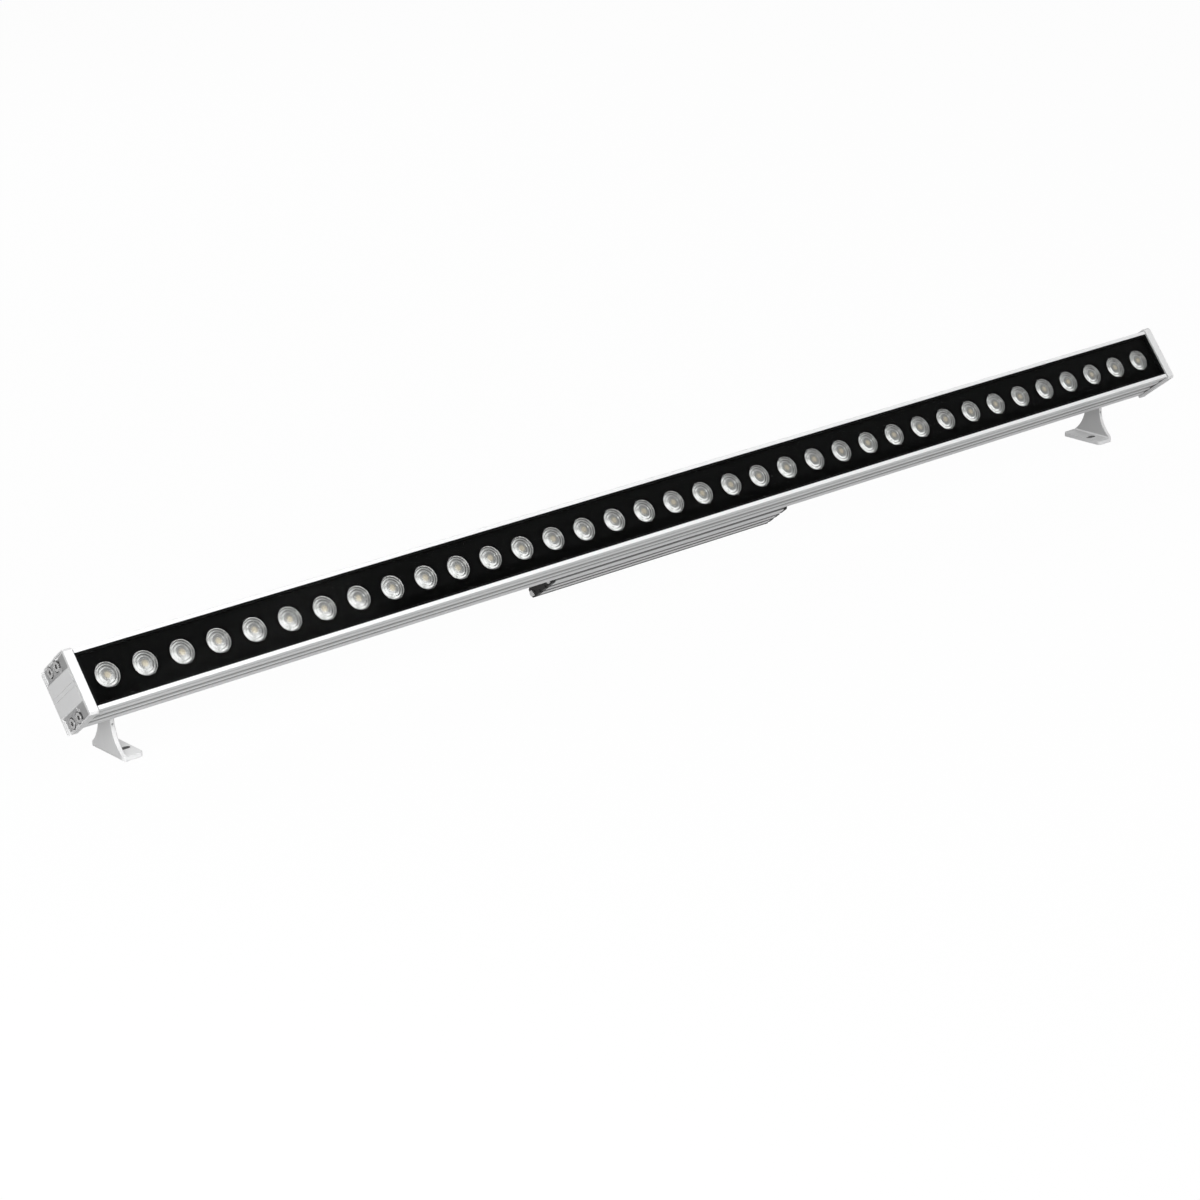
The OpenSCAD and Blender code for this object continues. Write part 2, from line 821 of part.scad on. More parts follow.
module gland_seal()
    color("black")
        tilted()
            difference() {
                rod_x(gland_seal_x, gland_w, box_mid_z, gland_seal_l, gland_thread_r - gland_wall - fit);
                rod_x(gland_seal_x - over, gland_w, box_mid_z, gland_seal_l + 2 * over, cable_r);
            }

module gland_nut()
    color("dimgray")
        tilted()
            difference() {
                union() {
                    hex_x(gland_collar_x + gland_play, gland_w, box_mid_z,
                        gland_nut_l - gland_lip_t, gland_hex_r);
                    rod_x(gland_collar_x + gland_play, gland_w, box_mid_z, gland_nut_l,
                        gland_hex_r * cos(30));
                }
                rod_x(gland_collar_x - over, gland_w, box_mid_z,
                    over + gland_play + gland_nut_l - gland_lip_t, gland_thread_r + fit);
                rod_x(gland_collar_x, gland_w, box_mid_z, gland_nut_l + over + gland_play,
                    cable_r + gland_play);
            }

module gland_locknut()
    color("dimgray")
        tilted()
            difference() {
                hex_x(gland_x - plate_t - locknut_t, gland_w, box_mid_z, locknut_t, gland_hex_r);
                rod_x(gland_x - plate_t - locknut_t - over, gland_w, box_mid_z, locknut_t + 2 * over,
                    gland_thread_r + fit);
            }

// Bolts from inside the driver box into nuts in the T-slot
module box_bolts()
    color("silver")
        tilted()
            for (s = [-1, 1]) {
                rod_z(s * box_bolt_x, 0, box_z - box_wall, box_bolt_head_h, box_bolt_head_r);
                rod_z(s * box_bolt_x, 0, back_z + slot_lip + t_nut_t,
                    slot_lip + t_nut_t + box_gap + box_wall, box_bolt_r - fit);
            }

module box_t_nuts()
    color("darkgray")
        tilted()
            for (s = [-1, 1])
                difference() {
                    along_bar(s * box_bolt_x - t_nut_l / 2, t_nut_l)
                        box2([-slider_w / 2, back_z + slot_lip],
                            [slider_w / 2, back_z + slot_lip + t_nut_t]);
                    rod_z(s * box_bolt_x, 0, back_z + slot_lip + t_nut_t + over, t_nut_t + 2 * over,
                        box_bolt_r);
                }

// Sliding block of a foot: the base runs in the T-slot and its lug carries the tilt axis
module slider_shape() {
    base_z = back_z + slot_lip + slide_play;
    difference() {
        union() {
            along_bar(slider_x - slider_l / 2, slider_l)
                box2([-slider_w / 2, base_z], [slider_w / 2, base_z + slider_t]);
            along_bar(lug_x, lug_t) {
                box2([-slider_neck_w / 2, back_z - over], [slider_neck_w / 2, base_z + slider_t / 2]);
                box2([-lug_r, pivot_z], [lug_r, back_z - over]);
                translate([0, pivot_z]) circle(lug_r);
            }
        }
        rod_x(lug_x - over, 0, pivot_z, lug_t + 2 * over, pivot_r);
        for (step = grub_places)
            rod_z(slider_x - step, 0, base_z + slider_t + over, slider_t + 2 * over, grub_r);
    }
}

module slider_left() color("darkgray") tilted() mirror([1, 0, 0]) slider_shape();

module slider_right() color("darkgray") tilted() slider_shape();

module slider_screws_shape() {
    top_z = back_z + slot_lip + slide_play + slider_t;
    for (step = grub_places)
        difference() {
            rod_z(slider_x - step, 0, top_z, grub_l, grub_r - fit);
            translate([slider_x - step, 0, top_z - grub_l - over])
                cylinder(h = hex_depth + over, r = grub_r / 2, $fn = 6);
        }
}

module slider_screws_left() color("dimgray") tilted() mirror([1, 0, 0]) slider_screws_shape();

module slider_screws_right() color("dimgray") tilted() slider_screws_shape();

// Pivot bolt through the foot, washer and lug, with its nut on the inside
module pivot_bolt_shape() {
    head_x = foot_outer_x + side_play;
    tail_x = lug_x - pivot_nut_t - bolt_end;
    difference() {
        union() {
            rod_x(head_x, 0, pivot_z, bolt_head_h, bolt_head_r);
            rod_x(tail_x, 0, pivot_z, head_x - tail_x, pivot_r - fit);
        }
        hex_x(head_x + bolt_head_h - hex_depth, 0, pivot_z, hex_depth + over, bolt_hex_r);
    }
}

module pivot_washer_shape()
    difference() {
        rod_x(lug_x + lug_t, 0, pivot_z, washer_t, washer_r);
        rod_x(lug_x + lug_t - over, 0, pivot_z, washer_t + 2 * over, pivot_r);
    }

module pivot_nut_shape()
    difference() {
        hex_x(lug_x - pivot_nut_t, 0, pivot_z, pivot_nut_t, pivot_nut_r);
        rod_x(lug_x - pivot_nut_t - over, 0, pivot_z, pivot_nut_t + 2 * over, pivot_r);
    }

module pivot_bolt_left() color("silver") tilted() mirror([1, 0, 0]) pivot_bolt_shape();

module pivot_bolt_right() color("silver") tilted() pivot_bolt_shape();

module pivot_washer_left() color("gray") tilted() mirror([1, 0, 0]) pivot_washer_shape();

module pivot_washer_right() color("gray") tilted() pivot_washer_shape();

module pivot_nut_left() color("silver") tilted() mirror([1, 0, 0]) pivot_nut_shape();

module pivot_nut_right() color("silver") tilted() pivot_nut_shape();

// Foot: a bent plate with a slotted base and a flared upright
module upright_outline() {
    half = foot_depth / 2;
    difference() {
        box2([-half, 0], [half, flare_top_z]);
        for (s = [-1, 1])
            translate([s * (neck_w / 2 + flare_r), flare_top_z]) circle(flare_r);
    }
    box2([-neck_w / 2, flare_top_z - over], [neck_w / 2, pivot_height]);
    translate([0, pivot_height]) circle(neck_w / 2);
}

module bend_section()
    difference() {
        union() {
            box2([foot_inner_x, 0], [foot_outer_x, foot_t]);
            box2([upright_x, 0], [foot_outer_x, pivot_height + neck_w]);
            box2([upright_x - bend_inner_r, foot_t], [upright_x, foot_t + bend_inner_r]);
        }
        translate([upright_x - bend_inner_r, foot_t + bend_inner_r]) circle(bend_inner_r);
        corner_cut([foot_outer_x, 0], [1, -1], bend_r);
    }

module foot_plan()
    difference() {
        box2([foot_inner_x, -foot_depth / 2], [foot_outer_x, foot_depth / 2]);
        for (s = [-1, 1], t = [-1, 1])
            corner_cut([t > 0 ? foot_outer_x : foot_inner_x, s * foot_depth / 2], [t, s], corner_r);
    }

module foot_shape()
    translate([0, slot_offset, 0]) difference() {
        intersection() {
            rotate([90, 0, 0]) translate([0, 0, -foot_depth]) linear_extrude(2 * foot_depth) bend_section();
            linear_extrude(pivot_height + neck_w) foot_plan();
            union() {
                linear_extrude(foot_t) foot_plan();
                along_bar(foot_inner_x, foot_length) upright_outline();
            }
        }
        rod_x(foot_inner_x, 0, pivot_height, foot_length + over, pivot_r + fit);
        translate([foot_x, -slot_offset, -over])
            linear_extrude(foot_t + 2 * over) {
                box2([-(foot_slot_l - foot_slot_w) / 2, -foot_slot_w / 2],
                    [(foot_slot_l - foot_slot_w) / 2, foot_slot_w / 2]);
                for (s = [-1, 1])
                    translate([s * (foot_slot_l - foot_slot_w) / 2, 0]) circle(foot_slot_w / 2);
            }
        set_screw_rod(set_screw_l + set_screw_set + over, set_screw_r, -over);
    }

// Rod along Y from the front edge of the upright, sunk by the given depth
module set_screw_rod(len, r, sink)
    translate([foot_outer_x - foot_t / 2, -neck_w / 2 + sink, set_screw_z])
        rotate([-90, 0, 0])
            cylinder(h = len, r = r);

module foot_left() color("silver") mirror([1, 0, 0]) foot_shape();

module foot_right() color("silver") foot_shape();

module foot_set_screw_left()
    color("dimgray")
        mirror([1, 0, 0])
            translate([0, slot_offset, 0]) set_screw_rod(set_screw_l, set_screw_r - fit, set_screw_set);

module foot_set_screw_right()
    color("dimgray")
        translate([0, slot_offset, 0]) set_screw_rod(set_screw_l, set_screw_r - fit, set_screw_set);

housing_profile();
end_cap_left();
end_cap_right();
cap_gasket_left();
cap_gasket_right();
end_cap_screws();
front_glass();
glass_sealant();
lens_panel();
lenses();
led_packages();
led_board_left();
led_board_centre();
led_board_right();
board_screws();
board_links();
lead_wires();
wire_grommet();
driver_box();
driver_plate_left();
driver_plate_right();
driver_gasket_left();
driver_gasket_right();
driver_plate_screws();
driver_board();
driver_transformer();
driver_capacitors();
driver_choke();
driver_potting();
gland_body();
gland_seal();
gland_nut();
gland_locknut();
box_bolts();
box_t_nuts();
slider_left();
slider_right();
slider_screws_left();
slider_screws_right();
pivot_bolt_left();
pivot_bolt_right();
pivot_washer_left();
pivot_washer_right();
pivot_nut_left();
pivot_nut_right();
foot_left();
foot_right();
foot_set_screw_left();
foot_set_screw_right();
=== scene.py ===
"""Outdoor wall washer: the finishes, optics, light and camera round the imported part."""

import math

import bpy
import numpy as np
from mathutils import Matrix, Vector


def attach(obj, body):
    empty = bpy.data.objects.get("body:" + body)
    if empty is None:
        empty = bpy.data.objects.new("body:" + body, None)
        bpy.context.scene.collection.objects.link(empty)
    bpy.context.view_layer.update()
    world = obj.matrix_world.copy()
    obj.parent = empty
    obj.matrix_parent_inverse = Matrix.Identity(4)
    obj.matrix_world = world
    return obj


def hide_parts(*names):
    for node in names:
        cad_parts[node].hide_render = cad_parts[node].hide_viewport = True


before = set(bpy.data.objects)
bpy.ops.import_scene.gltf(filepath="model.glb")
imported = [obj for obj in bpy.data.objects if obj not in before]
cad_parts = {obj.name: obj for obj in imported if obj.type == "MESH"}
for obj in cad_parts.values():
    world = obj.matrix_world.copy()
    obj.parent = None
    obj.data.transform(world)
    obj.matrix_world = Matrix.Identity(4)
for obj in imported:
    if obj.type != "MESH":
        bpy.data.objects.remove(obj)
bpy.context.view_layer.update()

# Sizes of the part, in metres. The bar has its own frame: x along it, w across the light
# face, z falling from the caps' front plane to the back.
FACE_TURN = math.radians(52.6)
PIVOT_Y = 0.005
PIVOT_HEIGHT = 0.0417
PIVOT_Z = -0.045
LED_COUNT = 36
LED_PITCH = 0.0272
LENS_TOP = -0.0041

LED_X = (np.arange(LED_COUNT) - (LED_COUNT - 1) / 2) * LED_PITCH

# Where a finish or its painted shade changes, in millimetres of the bar's frame. A pair is a
# range.
MM = 1000
SIDE_PLANE = 20.5  # |w| of the side faces
VALLEY_FLOOR = 17.9  # |w| that no valley or fin groove reaches
HOUSING_SIDE = (-34.3, -3.4)  # z of the housing's sides, from the back corner to the lip
BACK_VALLEY = -23  # z where the valley nearest the back begins
BOX_GAP = (-40.5, -34.2)  # z of the gap between housing and driver box
BOX_HALF = 108  # |x| of the driver box's ends
BOX_EDGE = -42.2  # z where the painted shade of the gap ends on the driver box
BOX_FRONT = -41  # z of the driver box's front
BOX_SIDE = (-68, -43)  # z of the driver box's sides, between its corners
FIN_PITCH = 8
FIN_GROOVE = -50.6  # z of the middle of the first fin groove
FIN_START = -47  # z where the fins begin
FIN_REACH = 2.2  # half width of the painted shade round a fin groove
CAP_FACE = 499.7  # |x| just under the caps' raised outer face
CAP_POCKET = 497.6  # |x| of the deeper half of the caps' pockets
CAP_HALF = 20.6  # |w| of the caps' outer face
CAP_SIDE = (-36, -2)  # z of the caps' outer face
LENS_MIDDLE = 3.7  # radius of the darker middle of a lens
LED_GLOW = 2.9  # radius of the LED's colour in a lens
PAD_X = 0.06 * LED_PITCH * MM  # reach of the LEDs' pads along the bar
PAD_W = (3, 4.5)  # |w| of the pads
TRACK_W = (8, 9.5)  # |w| of the copper tracks
SLEEVE_STRIPE = 3.6  # w where the capacitors' stripe begins
LINK_W = 7  # w of the middle of the board links

# The same for the feet, in millimetres of the row frame
FOOT_SLOT_X = 453  # |x| of the middle of a foot's slot
FOOT_SLOT_HALF = (4.25, 2.3)
FOOT_SLOT_TOP = 2.8
UPRIGHT_INNER = (459.2, 460)  # |x| of the inner face of a foot's upright
UPRIGHT_FOOT = 4.2  # height where the bend ends


# Geometry worked out with numpy

def from_bar(points):
    """Points of the bar's own frame set in the row frame: turned by FACE_TURN about X, then
    moved so that the tilt axis stands PIVOT_HEIGHT over the ground."""
    x, w, z = points[..., 0], points[..., 1], points[..., 2] - PIVOT_Z
    c, s = math.cos(FACE_TURN), math.sin(FACE_TURN)
    return np.stack([x, PIVOT_Y + c * w - s * z, PIVOT_HEIGHT + s * w + c * z], -1)


def piece(name, points, faces, finish, body, slot, sharp):
    """Makes one mesh object from an array of points and a list of faces, with smooth shading
    up to the angle sharp, sets it on its body and gives it the finish. The argument slot is not
    used."""
    mesh = bpy.data.meshes.new(name)
    mesh.from_pydata(points.reshape(-1, 3), [], faces)
    mesh.polygons.foreach_set("use_smooth", np.ones(len(mesh.polygons), bool))
    mesh.set_sharp_from_angle(angle=math.radians(sharp))
    mesh.materials.append(finish)
    made = bpy.data.objects.new(name, mesh)
    bpy.context.scene.collection.objects.link(made)
    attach(made, body)
    return made


def turned(profile, centres, steps):
    """Bodies of revolution about the bar's depth axis, one at each centre. A point is
    centre + (r cos t, r sin t, z), with t on a ring of equal steps and (r, z) along the closed
    profile in millimetres, whose first and last points lie on the axis."""
    profile = np.asarray(profile, float) / MM
    t = np.arange(steps) * 2 * math.pi / steps
    ring = profile[1:-1]
    shape = np.stack([ring[:, None, 0] * np.cos(t), ring[:, None, 0] * np.sin(t),
                      np.repeat(ring[:, None, 1], steps, 1)], -1).reshape(-1, 3)
    ends = np.array([[0, 0, profile[0, 1]], [0, 0, profile[-1, 1]]])
    one = np.vstack([shape, ends])
    points = from_bar(centres[:, None, :] + one)
    i, j = np.meshgrid(np.arange(len(ring) - 1), np.arange(steps), indexing="ij")
    k = (j + 1) % steps
    quads = np.stack([i * steps + j, i * steps + k, (i + 1) * steps + k, (i + 1) * steps + j], -1)
    quads = quads.reshape(-1, 4)
    j = np.arange(steps)
    k = (j + 1) % steps
    first = np.stack([k, j, np.full(steps, len(shape))], -1)
    last = np.stack([j, k, np.full(steps, 0)], -1) + (len(ring) - 1) * steps
    last[:, 2] = len(shape) + 1
    shift = np.arange(len(centres))[:, None, None] * len(one)
    faces = (quads + shift).reshape(-1, 4).tolist() + (first + shift).reshape(-1, 3).tolist()
    return points, faces + (last + shift).reshape(-1, 3).tolist()


# Shader arithmetic

def put(tree, socket, value):
    """Links a signal to a socket, or sets the socket to a plain value."""
    if isinstance(value, Signal):
        tree.links.new(value.socket, socket)
    else:
        socket.default_value = value


class Signal:
    """The output of a node. Arithmetic on it adds Math nodes."""

    def __init__(self, tree, socket):
        self.tree, self.socket = tree, socket

    def math(self, operation, *values):
        made = self.tree.nodes.new("ShaderNodeMath")
        made.operation = operation
        for socket, value in zip(made.inputs, values):
            put(self.tree, socket, value)
        return Signal(self.tree, made.outputs[0])

    def __add__(self, other):
        return self.math("ADD", self, other)

    def __sub__(self, other):
        return self.math("SUBTRACT", self, other)

    def __rsub__(self, other):
        return self.math("SUBTRACT", other, self)

    def __mul__(self, other):
        return self.math("MULTIPLY", self, other)

    def __truediv__(self, other):
        return self.math("DIVIDE", self, other)

    def __gt__(self, other):
        return self.math("GREATER_THAN", self, other)

    def __lt__(self, other):
        return self.math("LESS_THAN", self, other)

    def __abs__(self):
        return self.math("ABSOLUTE", self)

    __radd__ = __add__
    __rmul__ = __mul__

    def fraction(self):
        return self.math("FRACT", self)

    def at_least(self, other):
        return self.math("MAXIMUM", self, other)

    def held(self):
        """The same value kept between 0 and 1."""
        return self.math("MINIMUM", self.at_least(0), 1)

    def within(self, low_high):
        """1 where the value lies in a range and 0 elsewhere."""
        low, high = low_high
        return (self > low) * (self < high)


# Sockets of a Mix node that mixes colours, which share their names with others
MIX_SHARE, MIX_A, MIX_B, MIX_COLOUR = 0, 6, 7, 2
# The output of a wave texture that is a number
WAVE_NUMBER = 1
# How fast the share of painted highlight on edges grows with the turn of their softened shading
EDGE_GAIN = 5


class Finish:
    """A material in the making. Cells per metre are one number, or three for x, y and z."""

    def __init__(self, name):
        self.material = bpy.data.materials.new(name)
        self.material.use_nodes = True
        self.tree = self.material.node_tree
        self.tree.nodes.clear()

    def node(self, kind, settings={}, sockets={}, out=0):
        """Adds one node: its settings first, then the values or links of its sockets."""
        made = self.tree.nodes.new("ShaderNode" + kind)
        for name, value in settings.items():
            setattr(made, name, value)
        for name, value in sockets.items():
            put(self.tree, made.inputs[name], value)
        return Signal(self.tree, made.outputs[out] if made.outputs else None)

    def spots(self, *per_metre):
        """Object coordinates counted in cells of the row frame."""
        return self.node("Mapping", {}, {"Vector": self.node("TexCoord", out="Object"),
                                         "Scale": per_metre * (3 // len(per_metre))})

    def bar_spots(self, *per_metre):
        """Object coordinates turned into the bar's own frame and counted in cells."""
        cells = per_metre * (3 // len(per_metre))
        return self.node("Mapping", {"vector_type": "TEXTURE"},
                         {"Vector": self.node("TexCoord", out="Object"),
                          "Location": from_bar(np.zeros(3)).tolist(),
                          "Rotation": (FACE_TURN, 0, 0), "Scale": [1 / n for n in cells]})

    def noise(self, spots, detail=2, roughness=0.5):
        return self.node("TexNoise", {}, {"Vector": spots, "Scale": 1, "Detail": detail,
                                          "Roughness": roughness})

    def bands(self, spots, per_metre, distortion, detail):
        """Slightly wavy bands, one after the other along x."""
        return self.node("TexWave", {"bands_direction": "X"},
                         {"Vector": spots, "Scale": per_metre, "Distortion": distortion,
                          "Detail": detail}, out=WAVE_NUMBER)

    def parts(self, spots):
        """The three coordinates as numbers."""
        split = self.node("SeparateXYZ", {}, {"Vector": spots})
        return [Signal(self.tree, socket) for socket in split.socket.node.outputs]

    def from_led(self):
        """Millimetres along and across the light face from the nearest LED's middle."""
        x, w, z = self.parts(self.bar_spots(1 / LED_PITCH, MM, MM))
        return (x.fraction() - 0.5) * (LED_PITCH * MM), w

    def blend(self, share, a, b):
        """Colour a where share is 0 and colour b where it is 1."""
        return self.node("Mix", {"data_type": "RGBA"},
                         {MIX_SHARE: share, MIX_A: a, MIX_B: b}, out=MIX_COLOUR)

    def bump(self, height, strength, distance, over={}):
        return self.node("Bump", {}, {"Height": height, "Strength": strength,
                                      "Distance": distance, **over})

    def edges(self, radius, height, strength, distance):
        """Softens the shading of edges over a radius and lays a bump on it. Gives that normal,
        and a share that is 1 on the edges, where the finishes paint a highlight."""
        soft = self.node("Bevel", {"samples": 4}, {"Radius": radius})
        flat = self.node("NewGeometry", out="True Normal")
        turn = self.node("VectorMath", {"operation": "DOT_PRODUCT"}, {0: soft, 1: flat},
                         out="Value")
        normal = self.bump(height, strength, distance, {"Normal": soft})
        return normal, ((1 - turn) * EDGE_GAIN).held()

    def surface(self, **sockets):
        """Ends the material in one Principled shader."""
        names = {k.replace("_", " "): v for k, v in sockets.items()}
        shader = self.node("BsdfPrincipled", {}, names)
        self.node("OutputMaterial", {}, {"Surface": shader})
        return self.material


def tone(value, warm=0.0):
    """A grey, a little warmer or cooler."""
    return (value * (1 + warm), value, value * (1 - warm), 1)


def drawn_aluminium():
    """Satin anodised extrusion: fine die lines along the bar, faint clouds across them. Painted
    shade darkens it the deeper a valley lies under the side faces, beside the fin grooves and in
    the gap before the driver box, and a painted highlight brightens its edges."""
    f = Finish("drawn_aluminium")
    lines = f.noise(f.bar_spots(4, 2600, 2600), 3)
    broad = f.noise(f.bar_spots(1.5, 260, 260), 2)
    cloud = f.noise(f.spots(9, 60, 60), 3)
    x, w, z = f.parts(f.bar_spots(MM))
    side = abs(w)
    in_side = side > VALLEY_FLOOR
    # Painted shade: darker the deeper the side valleys sink, beside the fin grooves and in the gap
    # before the driver box
    valley = (SIDE_PLANE - side) * in_side * (z.within(HOUSING_SIDE) + z.within(BOX_SIDE))
    valley = valley * ((z < BACK_VALLEY) * 0.35 + (z < BOX_FRONT) * 3.5 + 0.85)
    gap = ((z - BOX_EDGE) * 1.2).held() * (z < BOX_GAP[0])
    gap = gap + (abs(x) < BOX_HALF) * z.within(BOX_GAP)
    from_groove = abs(((z - FIN_GROOVE) / FIN_PITCH + 0.5).fraction() - 0.5) * FIN_PITCH
    flank_shade = ((FIN_REACH - from_groove) * 1.2).held() * in_side * (z < FIN_START) * 0.8
    # dull is the share of painted shade, the strongest of valley, gap and fin groove
    dull = valley.held().at_least(gap).at_least(flank_shade) * 0.94
    # Painted highlight on the edges
    normal, edge_highlight = f.edges(0.00035, lines, 0.35, 0.00003)
    base = f.blend((lines * 0.35 + broad * 0.35 + cloud * 0.3).held(),
                   tone(0.75, -0.006), tone(0.85, -0.002))
    base = f.blend(dull, f.blend(edge_highlight * 0.6, base, tone(0.92)), tone(0.08))
    return f.surface(Base_Color=base, Metallic=0.1, Roughness=lines * 0.12 + 0.36,
                     Specular_IOR_Level=0.08, Normal=normal)


def blasted_aluminium():
    """Bead blasted, then anodised: an even fine grain, a painted highlight on the edges, and
    painted shade that darkens the pockets and counterbores of the caps' outer faces the deeper
    they sink."""
    f = Finish("blasted_aluminium")
    grain = f.noise(f.spots(2600), 2)
    cloud = f.noise(f.spots(70), 3)
    x, w, z = f.parts(f.bar_spots(MM))
    end = abs(x)
    # Painted shade, darker with depth below the caps' outer face
    pocket_shade = ((CAP_FACE - end) * 2.5).held() * 0.55 + ((CAP_POCKET - end) * 0.8).held() * 0.35
    pocket_shade = pocket_shade * (abs(w) < CAP_HALF) * z.within(CAP_SIDE)
    # Painted highlight on the edges
    normal, edge_highlight = f.edges(0.00035, grain, 0.3, 0.00004)
    base = f.blend((cloud * 0.7 + grain * 0.3).held(), tone(0.70, -0.004), tone(0.78))
    base = f.blend(edge_highlight * 0.7, f.blend(pocket_shade, base, tone(0.1)), tone(0.94))
    return f.surface(Base_Color=base, Metallic=0.1, Roughness=grain * 0.14 + 0.36,
                     Specular_IOR_Level=0.08, Normal=normal)


def pressed_aluminium():
    """Pressed plate of the feet: faint rolling lines and small handling marks, painted shade on
    the walls of the slots and on the uprights' inner faces, and a painted highlight on the edges."""
    f = Finish("pressed_aluminium")
    rolled = f.noise(f.spots(1500, 1500, 60), 3)
    marks = f.noise(f.spots(260, 900, 500), 4, 0.7)
    x, y, z = f.parts(f.spots(MM))
    end = abs(x)
    slot_x, slot_y = FOOT_SLOT_HALF
    # Painted shade on the walls of the slots
    slot = (abs(end - FOOT_SLOT_X) < slot_x) * (abs(y) < slot_y) * (z < FOOT_SLOT_TOP)
    # Painted shade on the inner faces of the uprights
    inner = end.within(UPRIGHT_INNER) * (z > UPRIGHT_FOOT)
    # Painted highlight on the edges
    normal, edge_highlight = f.edges(0.00045, rolled, 0.3, 0.00003)
    base = f.blend((rolled * 0.5 + marks * 0.5).held(), tone(0.68, -0.004), tone(0.78))
    base = f.blend(edge_highlight * 0.6, f.blend(inner * 0.5, base, tone(0.28)), tone(0.92))
    return f.surface(Base_Color=f.blend(slot * 0.8, base, tone(0.08)), Metallic=0.12,
                     Roughness=marks * 0.16 + 0.32, Specular_IOR_Level=0.08, Normal=normal)


def milled_aluminium():
    """Saw cut and milled blocks: visible tool lines across the bar, and a painted highlight on the
    edges.
    """
    f = Finish("milled_aluminium")
    lines = f.bands(f.spots(1), 900, 1.5, 2)
    normal, edge_highlight = f.edges(0.0003, lines, 0.25, 0.00002)
    base = f.blend(edge_highlight, f.blend(lines, tone(0.58), tone(0.66)), tone(0.85))
    return f.surface(Base_Color=base, Metallic=0.75, Roughness=lines * 0.1 + 0.3,
                     Normal=normal)


def turned_steel():
    """Stainless screws and nuts: fine turning marks, and a painted highlight on the edges."""
    f = Finish("turned_steel")
    marks = f.noise(f.spots(3000), 2)
    cloud = f.noise(f.spots(500), 3)
    normal, edge_highlight = f.edges(0.0003, marks, 0.3, 0.00002)
    base = f.blend(edge_highlight, f.blend(cloud, tone(0.34, 0.004), tone(0.48, 0.004)), tone(0.8))
    return f.surface(Base_Color=base, Metallic=0.9, Roughness=marks * 0.2 + 0.2,
                     Normal=normal)


def black_coat():
    """Black powder coat: a fine orange peel, and a painted highlight that makes the edges paler.
    """
    f = Finish("black_coat")
    peel = f.noise(f.spots(1500), 1)
    normal, edge_highlight = f.edges(0.0004, peel, 0.5, 0.00005)
    base = f.blend(edge_highlight * 0.4, f.blend(peel, tone(0.012), tone(0.022)), tone(0.12))
    return f.surface(Base_Color=base, Roughness=peel * 0.2 + 0.4, Specular_IOR_Level=0.15,
                     Normal=normal)


def moulded_black(name, dull, shade, gloss=0.3):
    """Moulded plastic or rubber: fine spark texture, dull from the mould, with a painted highlight
    on the edges.
    """
    f = Finish(name)
    grain = f.noise(f.spots(2200), 2)
    cloud = f.noise(f.spots(120), 2)
    normal, edge_highlight = f.edges(0.0003, grain, 0.4, 0.00005)
    base = f.blend(edge_highlight * 0.3, f.blend(cloud, tone(shade), tone(shade * 1.7)), tone(shade * 6))
    return f.surface(Base_Color=base, Roughness=grain * 0.15 + dull, Specular_IOR_Level=gloss,
                     Normal=normal)


def panel_black():
    """Black lens panel behind the glass: matt, with a faint grain."""
    f = Finish("panel_black")
    grain = f.noise(f.bar_spots(1800), 2)
    base = f.blend(grain, tone(0.0015), tone(0.003))
    return f.surface(Base_Color=base, Roughness=grain * 0.1 + 0.5, Specular_IOR_Level=0.02,
                     Normal=f.bump(grain, 0.3, 0.00003))


def clear_glass():
    """Float glass with an anti-reflection coat: clear, and a weak reflection that grows at a
    flat angle."""
    f = Finish("clear_glass")
    clear = f.node("BsdfTransparent", {}, {"Color": (0.985, 0.992, 0.99, 1)})
    mirror = f.node("BsdfPrincipled", {}, {"Base Color": tone(1.0), "Metallic": 1.0,
                                           "Roughness": 0.03})
    weak = f.node("Fresnel", {}, {"IOR": 1.05})
    glass = f.node("MixShader", {}, {0: weak, 1: clear, 2: mirror})
    f.node("OutputMaterial", {}, {"Surface": glass})
    return f.material


def lens_plastic():
    """Moulded optic: silvery grey, with a painted reflection of its walls that makes it brighter
    outside its middle, and the pale yellow of the LED painted in the centre as seen through the
    optic."""
    f = Finish("lens_plastic")
    x, w = f.from_led()
    reach = x * x + w * w
    radius = reach.math("SQRT", reach)
    # Painted image of the LED seen through the optic
    led = ((LED_GLOW - radius) * 0.6).held() * 0.6
    grain = f.noise(f.bar_spots(900), 2)
    # Painted reflection of the optic's walls: brighter outside the middle
    base = f.blend(((radius - LENS_MIDDLE) * 2).held(),
                   f.blend(grain, tone(0.19, 0.015), tone(0.24, 0.015)),
                   f.blend(grain, tone(0.29, 0.01), tone(0.35, 0.01)))
    return f.surface(Base_Color=f.blend(led, base, (0.42, 0.36, 0.25, 1)), Metallic=1 - led,
                     Roughness=grain * 0.06 + 0.2, Coat_Weight=0.15, Coat_Roughness=0.06,
                     Normal=f.bump(grain, 0.2, 0.00004))


def phosphor():
    """Yellow phosphor under a clear dome."""
    f = Finish("phosphor")
    grain = f.noise(f.bar_spots(3000), 2)
    base = f.blend(grain, (0.50, 0.43, 0.28, 1), (0.62, 0.54, 0.36, 1))
    return f.surface(Base_Color=base, Roughness=0.35, Coat_Weight=0.6)


def white_board():
    """White solder mask over copper tracks, bare tinned pads beside each LED."""
    f = Finish("white_board")
    x, w = f.from_led()
    across = abs(w)
    pads = (abs(x) < PAD_X) * across.within(PAD_W)
    track = across.within(TRACK_W)
    weave = f.noise(f.bar_spots(900), 3)
    base = f.blend(weave, tone(0.78), tone(0.86))
    base = f.blend(track * 0.25, base, tone(0.6, 0.08))
    base = f.blend(pads, base, tone(0.62))
    return f.surface(Base_Color=base, Metallic=pads * 0.8, Roughness=weave * 0.1 + 0.4,
                     Normal=f.bump(pads + track, 0.4, 0.00004))


